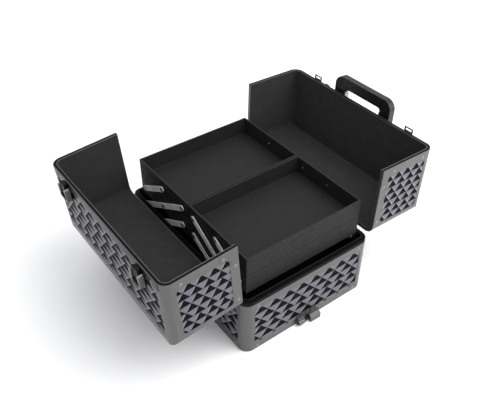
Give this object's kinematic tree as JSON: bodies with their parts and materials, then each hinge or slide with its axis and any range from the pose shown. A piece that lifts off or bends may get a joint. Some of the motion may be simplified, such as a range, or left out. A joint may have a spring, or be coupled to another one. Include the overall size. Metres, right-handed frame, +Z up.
{
  "type": "makeup train case",
  "caption": "Hard makeup train case with outward-opening lid halves, cantilever trays on swing arms, a folding handle and claw latches.",
  "frame": {"origin": "centre of the base's footprint on its underside, which is also the bottom centre of the bounding box with the lids open", "axes": "+Z up, +Y along the case's long side and parallel to the lid hinges, +X across the case towards the lid with the handle"},
  "size_m": [0.5236, 0.356, 0.2617],
  "materials": {
    "trim": "satin dark gunmetal anodised trim",
    "panel": "satin printed laminate with dark triangles on pale grey-lilac",
    "black_edge": "matt black edging",
    "floor": "matt black board",
    "lining": "matt black flocked lining",
    "tray": "matt black with a soft-touch lining",
    "arm_steel": "plain bright steel strip",
    "hardware": "dull nickel plate",
    "rivet": "nickel-plated rivet heads",
    "tray_rivet": "copper-coloured rivet heads",
    "latch_metal": "satin gunmetal die casting",
    "latch_black": "black plastic",
    "handle_black": "black moulded plastic with a fine grain"
  },
  "bodies": {
    "base": {"base_wall_panels": "panel", "base_floor": "floor", "base_corner_posts": "trim", "base_top_frame": "trim", "base_bottom_frame": "trim", "base_rim_seal": "black_edge", "base_lining": "lining", "base_frame_rivets": "rivet", "base_pivot_rivets": "rivet", "hinge_base_leaves": "hardware", "hinge_pins": "rivet", "stack_keepers": "latch_metal", "stack_keeper_pins": "latch_black"},
    "left_lid": {"left_lid_top_panel": "panel", "left_lid_side_panel": "panel", "left_lid_end_panels": "panel", "left_lid_rim_frame": "trim", "left_lid_mouth_frame": "trim", "left_lid_mouth_seal": "black_edge", "left_lid_corner_trims": "trim", "left_lid_lining": "lining", "left_lid_rivets": "rivet", "left_lid_hinge_leaf": "hardware", "latch_bases": "latch_black", "latch_housings": "latch_metal", "latch_pins": "rivet", "latch_springs": "hardware"},
    "right_lid": {"right_lid_top_panel": "panel", "right_lid_side_panel": "panel", "right_lid_end_panels": "panel", "right_lid_rim_frame": "trim", "right_lid_mouth_frame": "trim", "right_lid_mouth_seal": "black_edge", "right_lid_corner_trims": "trim", "right_lid_lining": "lining", "right_lid_rivets": "rivet", "right_lid_hinge_leaf": "hardware", "strike_plates": "latch_metal", "handle_brackets": "hardware", "handle_pins": "rivet"},
    "latch_claw_front": {"latch_claw_front": "latch_black"},
    "latch_claw_back": {"latch_claw_back": "latch_black"},
    "handle": {"handle_grip": "handle_black", "handle_side_arms": "hardware"},
    "front_long_arms": {"front_long_arms": "arm_steel"},
    "front_lower_links": {"front_lower_links": "arm_steel"},
    "front_upper_links": {"front_upper_links": "arm_steel"},
    "front_lower_tray": {"front_lower_tray": "tray", "front_lower_tray_rivets": "tray_rivet"},
    "front_upper_tray": {"front_upper_tray": "tray", "front_upper_tray_rivets": "tray_rivet"},
    "back_long_arms": {"back_long_arms": "arm_steel"},
    "back_lower_links": {"back_lower_links": "arm_steel"},
    "back_upper_links": {"back_upper_links": "arm_steel"},
    "back_lower_tray": {"back_lower_tray": "tray", "back_lower_tray_rivets": "tray_rivet"},
    "back_upper_tray": {"back_upper_tray": "tray", "back_upper_tray_rivets": "tray_rivet"}
  },
  "joints": [
    {"name": "left_lid_hinge", "type": "hinge", "parent": "base", "child": "left_lid", "pos_m": [-0.1278, 0, 0.108], "axis": [0, -1, 0], "range_deg": [-94.5, 0]},
    {"name": "right_lid_hinge", "type": "hinge", "parent": "base", "child": "right_lid", "pos_m": [0.1278, 0, 0.108], "axis": [0, 1, 0], "range_deg": [-91.5, 5]},
    {"name": "front_trays_swing", "type": "hinge", "parent": "base", "child": "front_long_arms", "pos_m": [0, -0.134, 0.096], "axis": [1, 0, 0], "range_deg": [0, 105]},
    {"name": "front_lower_tray_pivot", "type": "hinge", "parent": "front_long_arms", "child": "front_lower_tray", "pos_m": [0, -0.075, 0.13], "axis": [1, 0, 0], "range_deg": [-105, 0]},
    {"name": "front_upper_tray_pivot", "type": "hinge", "parent": "front_long_arms", "child": "front_upper_tray", "pos_m": [0, -0.016, 0.164], "axis": [1, 0, 0], "range_deg": [-105, 0]},
    {"name": "front_lower_link_pivot", "type": "hinge", "parent": "base", "child": "front_lower_links", "pos_m": [0, -0.075, 0.096], "axis": [1, 0, 0], "range_deg": [0, 105]},
    {"name": "front_upper_link_pivot", "type": "hinge", "parent": "front_lower_tray", "child": "front_upper_links", "pos_m": [0, -0.134, 0.13], "axis": [1, 0, 0], "range_deg": [0, 105]},
    {"name": "back_trays_swing", "type": "hinge", "parent": "base", "child": "back_long_arms", "pos_m": [0, 0.134, 0.096], "axis": [-1, 0, 0], "range_deg": [0, 105]},
    {"name": "back_lower_tray_pivot", "type": "hinge", "parent": "back_long_arms", "child": "back_lower_tray", "pos_m": [0, 0.075, 0.13], "axis": [-1, 0, 0], "range_deg": [-105, 0]},
    {"name": "back_upper_tray_pivot", "type": "hinge", "parent": "back_long_arms", "child": "back_upper_tray", "pos_m": [0, 0.016, 0.164], "axis": [-1, 0, 0], "range_deg": [-105, 0]},
    {"name": "back_lower_link_pivot", "type": "hinge", "parent": "base", "child": "back_lower_links", "pos_m": [0, 0.075, 0.096], "axis": [-1, 0, 0], "range_deg": [0, 105]},
    {"name": "back_upper_link_pivot", "type": "hinge", "parent": "back_lower_tray", "child": "back_upper_links", "pos_m": [0, 0.134, 0.13], "axis": [-1, 0, 0], "range_deg": [0, 105]},
    {"name": "handle_hinge", "type": "hinge", "parent": "right_lid", "child": "handle", "pos_m": [0.2544, 0, 0.20552], "axis": [0, 1, 0], "range_deg": [0, 90]},
    {"name": "latch_claw_front_pivot", "type": "hinge", "parent": "left_lid", "child": "latch_claw_front", "pos_m": [-0.25631, -0.1105, 0.20502], "axis": [0, -1, 0], "range_deg": [0, 6]},
    {"name": "latch_claw_back_pivot", "type": "hinge", "parent": "left_lid", "child": "latch_claw_back", "pos_m": [-0.25631, 0.1075, 0.20502], "axis": [0, -1, 0], "range_deg": [0, 6]}
  ],
  "couplings": [
    {"joint": "front_lower_tray_pivot", "follows": "front_trays_swing", "ratio": -1},
    {"joint": "front_upper_tray_pivot", "follows": "front_trays_swing", "ratio": -1},
    {"joint": "front_lower_link_pivot", "follows": "front_trays_swing", "ratio": 1},
    {"joint": "front_upper_link_pivot", "follows": "front_trays_swing", "ratio": 1},
    {"joint": "back_lower_tray_pivot", "follows": "back_trays_swing", "ratio": -1},
    {"joint": "back_upper_tray_pivot", "follows": "back_trays_swing", "ratio": -1},
    {"joint": "back_lower_link_pivot", "follows": "back_trays_swing", "ratio": 1},
    {"joint": "back_upper_link_pivot", "follows": "back_trays_swing", "ratio": 1}
  ]
}
